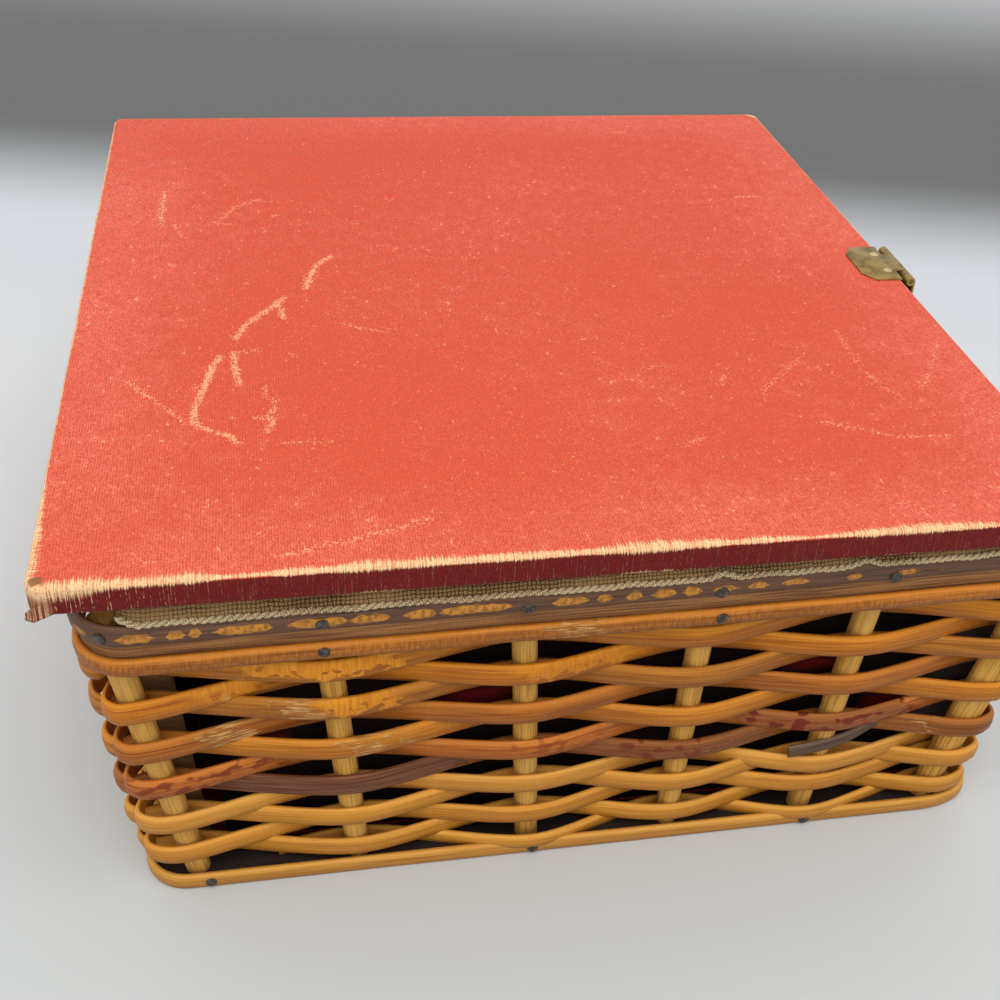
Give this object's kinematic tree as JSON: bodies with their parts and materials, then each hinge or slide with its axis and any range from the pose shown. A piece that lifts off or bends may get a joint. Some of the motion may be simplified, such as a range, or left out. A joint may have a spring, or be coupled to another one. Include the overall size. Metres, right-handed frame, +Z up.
{
  "type": "sewing box",
  "caption": "Rectangular woven cane sewing box with leaning stakes, nailed bamboo rim bands, braid edge, red cloth-covered hinged lid and brass hasp.",
  "frame": {"origin": "middle of the base's underside, on the floor the box stands on", "axes": "+Z up; the hasp is at the front, towards -Y, and the hinges are at the back, towards +Y"},
  "size_m": [0.284, 0.2588, 0.1147],
  "materials": {
    "stake_reed": "round reed, dry and lightly grained",
    "dyed_cane": "split cane, dyed golden orange, satin skin",
    "pale_cane": "split cane, undyed, satin skin",
    "dark_bamboo": "split bamboo with its brown skin on",
    "board": "bare board",
    "book_cloth": "fine woven book cloth, worn",
    "lining_cloth": "plain woven cloth on card",
    "braid_tape": "coarse woven tape",
    "aged_brass": "dull, darkened",
    "nail_steel": "dull grey-black"
  },
  "bodies": {
    "basket": {"stakes_front": "stake_reed", "lining_front": "lining_cloth", "stakes_back": "stake_reed", "lining_back": "lining_cloth", "stakes_left": "stake_reed", "lining_left": "lining_cloth", "stakes_right": "stake_reed", "lining_right": "lining_cloth", "weaver_01": "dyed_cane", "weaver_02": "dyed_cane", "weaver_03": "dyed_cane", "weaver_04": "dyed_cane", "weaver_05": "dyed_cane", "weaver_06": "dyed_cane", "weaver_07": "dyed_cane", "weaver_08": "pale_cane", "weaver_09": "pale_cane", "weaver_10": "pale_cane", "weaver_11": "pale_cane", "weaver_12": "pale_cane", "rim_band_upper": "dark_bamboo", "rim_band_lower": "dark_bamboo", "rim_backing": "dark_bamboo", "rim_hoop": "pale_cane", "bottom_band": "pale_cane", "base_board": "board", "lining_base": "lining_cloth", "rim_braid": "braid_tape", "rim_nails_upper": "nail_steel", "rim_nails_lower": "nail_steel", "bottom_nails": "nail_steel", "clasp_catch": "aged_brass", "hinge_left_rim_leaf": "aged_brass", "hinge_left_pin": "aged_brass", "hinge_left_rim_nails": "nail_steel", "hinge_right_rim_leaf": "aged_brass", "hinge_right_pin": "aged_brass", "hinge_right_rim_nails": "nail_steel"},
    "lid": {"lid_board": "board", "lid_cloth": "book_cloth", "lid_panel": "lining_cloth", "clasp_plate": "aged_brass", "clasp_rivets": "aged_brass", "clasp_pin": "aged_brass", "hinge_left_lid_leaf": "aged_brass", "hinge_left_lid_nails": "nail_steel", "hinge_right_lid_leaf": "aged_brass", "hinge_right_lid_nails": "nail_steel"},
    "clasp_flap": {"clasp_flap": "aged_brass"}
  },
  "joints": [
    {"name": "lid_hinge", "type": "hinge", "parent": "basket", "child": "lid", "pos_m": [0, 0.12725, 0.1031], "axis": [-1, 0, 0], "range_deg": [0, 110]},
    {"name": "clasp_flap_hinge", "type": "hinge", "parent": "lid", "child": "clasp_flap", "pos_m": [0, -0.1273, 0.1128], "axis": [-1, 0, 0], "range_deg": [0, 110]}
  ]
}
